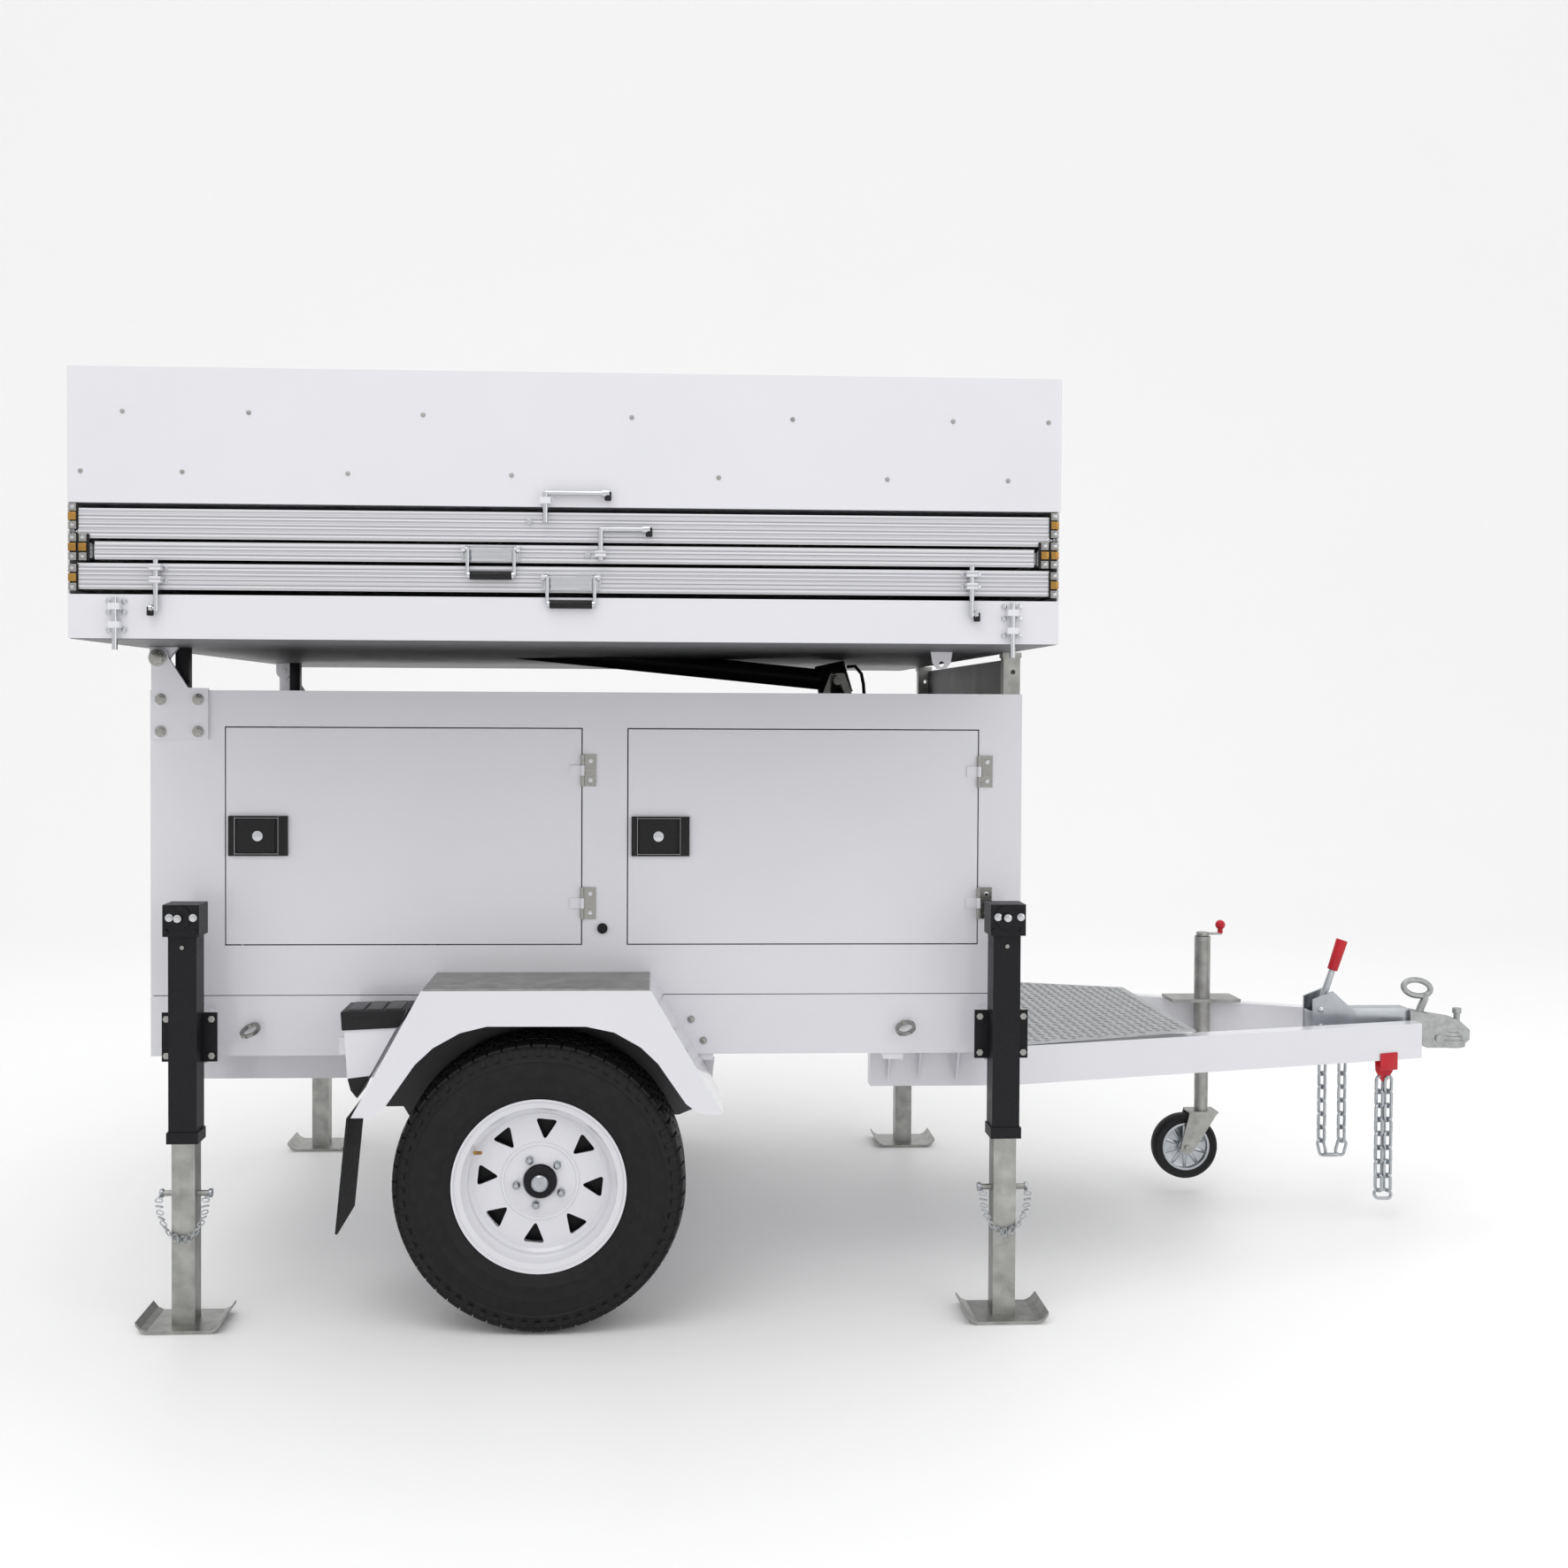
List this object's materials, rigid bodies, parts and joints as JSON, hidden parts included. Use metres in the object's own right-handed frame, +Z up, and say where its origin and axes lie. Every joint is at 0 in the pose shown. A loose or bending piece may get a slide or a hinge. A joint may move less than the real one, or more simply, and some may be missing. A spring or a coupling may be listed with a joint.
{
  "type": "arrow board trailer",
  "caption": "Single-axle road trailer with a folded tilting display stack, side doors, corner jacks, jockey wheel, handbrake and ball coupling.",
  "frame": {"origin": "on the ground under the middle of the bounding box", "axes": "+X towards the coupling, -Y the door side, +Z up"},
  "size_m": [3.6966, 2.395, 2.221],
  "materials": {
    "white_paint": "gloss",
    "black_paint": "satin",
    "dark_grey": "satin",
    "red_paint": "gloss",
    "galvanised": "matt spangle",
    "bright_zinc": "satin",
    "stainless": "brushed",
    "chrome": "polished",
    "extrusion": "satin anodised",
    "tread_plate": "rolled chequer",
    "cast": "satin",
    "tyre": "matt",
    "rubber": "matt",
    "black_plastic": "matt",
    "display_face": "satin",
    "battery": "matt"
  },
  "bodies": {
    "chassis": {"chassis_frame": "white_paint", "drawbar_beams": "white_paint", "deck_plate": "tread_plate", "lower_tub": "white_paint", "near_side_panel": "white_paint", "far_and_end_panels": "white_paint", "roof_panel": "white_paint", "batteries_and_controller": "battery", "body_fittings": "stainless", "roof_brackets": "galvanised", "hinge_brackets": "white_paint", "mudguard_near": "white_paint", "mudguard_far": "white_paint", "mudflaps": "rubber", "axle_beam": "galvanised", "leaf_springs": "black_paint", "jack_outer_tubes": "black_paint", "jockey_outer_tube": "galvanised", "coupling_bracket": "bright_zinc", "coupling_head": "cast", "safety_chains": "bright_zinc", "side_canister": "white_paint"},
    "rear_door": {"rear_door": "white_paint"},
    "front_door": {"front_door": "white_paint"},
    "rear_paddle": {"rear_door_paddle": "black_plastic"},
    "front_paddle": {"front_door_paddle": "black_plastic"},
    "wheel_near": {"tyre_near": "tyre", "rim_near": "white_paint"},
    "wheel_far": {"tyre_far": "tyre", "rim_far": "white_paint"},
    "leg_near_rear": {"jack_leg_near_rear": "galvanised"},
    "leg_near_front": {"jack_leg_near_front": "galvanised"},
    "leg_far_rear": {"jack_leg_far_rear": "galvanised"},
    "leg_far_front": {"jack_leg_far_front": "galvanised"},
    "jockey_fork": {"jockey_fork": "galvanised"},
    "jockey_wheel": {"jockey_wheel": "rubber"},
    "jockey_crank": {"jockey_crank": "red_paint"},
    "coupling_handle": {"coupling_handle": "bright_zinc"},
    "handbrake_lever": {"handbrake_lever": "red_paint"},
    "display": {"tray_frame": "white_paint", "tray_pan": "dark_grey", "end_walls_and_slides": "extrusion", "display_cabinet": "white_paint", "display_face": "display_face"},
    "upper_panel": {"upper_panel": "extrusion"},
    "middle_panel": {"middle_panel": "extrusion"},
    "lower_panel": {"lower_panel": "extrusion"},
    "upper_slides": {"upper_panel_slides": "chrome"},
    "middle_slides": {"middle_panel_slides": "chrome"},
    "lower_slides": {"lower_panel_slides": "chrome"},
    "cabinet_bolt": {"cabinet_bolt": "chrome"},
    "upper_bolt": {"upper_bolt": "chrome"},
    "lower_bolt_rear": {"lower_bolt_rear": "chrome"},
    "lower_bolt_front": {"lower_bolt_front": "chrome"},
    "tray_bolt_rear": {"tray_bolt_rear": "chrome"},
    "tray_bolt_front": {"tray_bolt_front": "chrome"},
    "middle_handle": {"middle_handle": "chrome"},
    "lower_handle": {"lower_handle": "chrome"},
    "lift_cylinder": {"lift_cylinder": "black_paint"},
    "lift_rod": {"lift_rod": "chrome"}
  },
  "joints": [
    {"name": "display_tilt", "type": "hinge", "parent": "chassis", "child": "display", "pos_m": [-1.78975, 0, 1.604], "axis": [0, -1, 0], "range_deg": [0, 90]},
    {"name": "lift_swing", "type": "hinge", "parent": "chassis", "child": "lift_cylinder", "pos_m": [-0.04175, 0, 1.569], "axis": [0, 1, 0], "range_deg": [0, 13.89]},
    {"name": "lift_stroke", "type": "slide", "parent": "lift_cylinder", "child": "lift_rod", "axis": [-0.9954, 0, 0.0959], "range_m": [0, 0.78562]},
    {"name": "upper_slide", "type": "slide", "parent": "display", "child": "upper_panel", "axis": [0, 1, 0], "range_m": [0, 1.1]},
    {"name": "upper_slide_mid", "type": "slide", "parent": "display", "child": "upper_slides", "axis": [0, 1, 0], "range_m": [0, 0.551]},
    {"name": "middle_slide", "type": "slide", "parent": "display", "child": "middle_panel", "axis": [0, -1, 0], "range_m": [0, 1.1]},
    {"name": "middle_slide_mid", "type": "slide", "parent": "display", "child": "middle_slides", "axis": [0, -1, 0], "range_m": [0, 0.551]},
    {"name": "lower_slide", "type": "slide", "parent": "display", "child": "lower_panel", "axis": [0, -1, 0], "range_m": [0, 1.101]},
    {"name": "lower_slide_mid", "type": "slide", "parent": "display", "child": "lower_slides", "axis": [0, -1, 0], "range_m": [0, 0.551]},
    {"name": "cabinet_bolt_lift", "type": "slide", "parent": "display", "child": "cabinet_bolt", "axis": [0, 0, 1], "range_m": [0, 0.015], "stiffness_N_per_m": 400, "springref_m": -0.02},
    {"name": "upper_bolt_lift", "type": "slide", "parent": "middle_panel", "child": "upper_bolt", "axis": [0, 0, 1], "range_m": [0, 0.025], "stiffness_N_per_m": 400, "springref_m": -0.02},
    {"name": "lower_bolt_rear_lift", "type": "slide", "parent": "lower_panel", "child": "lower_bolt_rear", "axis": [0, 0, 1], "range_m": [0, 0.025], "stiffness_N_per_m": 400, "springref_m": -0.02},
    {"name": "lower_bolt_front_lift", "type": "slide", "parent": "lower_panel", "child": "lower_bolt_front", "axis": [0, 0, 1], "range_m": [0, 0.025], "stiffness_N_per_m": 400, "springref_m": -0.02},
    {"name": "tray_bolt_rear_lift", "type": "slide", "parent": "display", "child": "tray_bolt_rear", "axis": [0, 0, 1], "range_m": [0, 0.025], "stiffness_N_per_m": 400, "springref_m": -0.02},
    {"name": "tray_bolt_front_lift", "type": "slide", "parent": "display", "child": "tray_bolt_front", "axis": [0, 0, 1], "range_m": [0, 0.025], "stiffness_N_per_m": 400, "springref_m": -0.02},
    {"name": "middle_handle_swing", "type": "hinge", "parent": "middle_panel", "child": "middle_handle", "pos_m": [-0.93175, -1.194, 1.832], "axis": [-1, 0, 0], "range_deg": [0, 100]},
    {"name": "lower_handle_swing", "type": "hinge", "parent": "lower_panel", "child": "lower_handle", "pos_m": [-0.75675, -1.194, 1.772], "axis": [-1, 0, 0], "range_deg": [0, 100]},
    {"name": "rear_door_hinge", "type": "hinge", "parent": "chassis", "child": "rear_door", "pos_m": [-0.75025, -0.7105, 1.165], "axis": [0, 0, 1], "range_deg": [0, 105]},
    {"name": "front_door_hinge", "type": "hinge", "parent": "chassis", "child": "front_door", "pos_m": [0.24475, -0.7105, 1.165], "axis": [0, 0, 1], "range_deg": [0, 85]},
    {"name": "rear_paddle_pull", "type": "hinge", "parent": "rear_door", "child": "rear_paddle", "pos_m": [-1.50925, -0.712, 1.165], "axis": [0, 0, 1], "range_deg": [0, 35], "stiffness_Nm_per_rad": 0.3, "springref_deg": -5.73},
    {"name": "front_paddle_pull", "type": "hinge", "parent": "front_door", "child": "front_paddle", "pos_m": [-0.51675, -0.712, 1.165], "axis": [0, 0, 1], "range_deg": [0, 35], "stiffness_Nm_per_rad": 0.3, "springref_deg": -5.73},
    {"name": "wheel_near_spin", "type": "hinge", "parent": "chassis", "child": "wheel_near", "pos_m": [-0.84175, -0.836, 0.35], "axis": [0, 1, 0], "continuous": true},
    {"name": "wheel_far_spin", "type": "hinge", "parent": "chassis", "child": "wheel_far", "pos_m": [-0.84175, 0.836, 0.35], "axis": [0, 1, 0], "continuous": true},
    {"name": "leg_near_rear_raise", "type": "slide", "parent": "chassis", "child": "leg_near_rear", "axis": [0, 0, 1], "range_m": [0, 0.105]},
    {"name": "leg_near_front_raise", "type": "slide", "parent": "chassis", "child": "leg_near_front", "axis": [0, 0, 1], "range_m": [0, 0.105]},
    {"name": "leg_far_rear_raise", "type": "slide", "parent": "chassis", "child": "leg_far_rear", "axis": [0, 0, 1], "range_m": [0, 0.105]},
    {"name": "leg_far_front_raise", "type": "slide", "parent": "chassis", "child": "leg_far_front", "axis": [0, 0, 1], "range_m": [0, 0.105]},
    {"name": "jockey_raise", "type": "slide", "parent": "chassis", "child": "jockey_fork", "axis": [0, 0, 1], "range_m": [0, 0.12]},
    {"name": "jockey_crank_turn", "type": "hinge", "parent": "chassis", "child": "jockey_crank", "pos_m": [1.12025, 0.2, 0.8], "axis": [0, 0, 1], "range_deg": [0, 4321]},
    {"name": "jockey_wheel_spin", "type": "hinge", "parent": "jockey_fork", "child": "jockey_wheel", "pos_m": [1.06825, 0.2, 0.146], "axis": [0, 1, 0], "continuous": true},
    {"name": "coupling_handle_lift", "type": "hinge", "parent": "chassis", "child": "coupling_handle", "pos_m": [1.70825, 0, 0.58], "axis": [0, 1, 0], "range_deg": [0, 15], "stiffness_Nm_per_rad": 6, "springref_deg": -17.19},
    {"name": "handbrake_pull", "type": "hinge", "parent": "chassis", "child": "handbrake_lever", "pos_m": [1.40225, 0, 0.575], "axis": [0, -1, 0], "range_deg": [0, 40]}
  ],
  "couplings": [
    {"joint": "lift_swing", "follows": "display_tilt", "ratio": 0.15412},
    {"joint": "lift_stroke", "follows": "display_tilt", "m_per_rad": 0.49983},
    {"joint": "upper_slide_mid", "follows": "upper_slide", "ratio": 0.5},
    {"joint": "middle_slide_mid", "follows": "middle_slide", "ratio": 0.5},
    {"joint": "lower_slide", "follows": "middle_slide", "ratio": 1},
    {"joint": "lower_slide_mid", "follows": "middle_slide", "ratio": 0.5},
    {"joint": "jockey_crank_turn", "follows": "jockey_raise", "rad_per_m": 628.32}
  ]
}
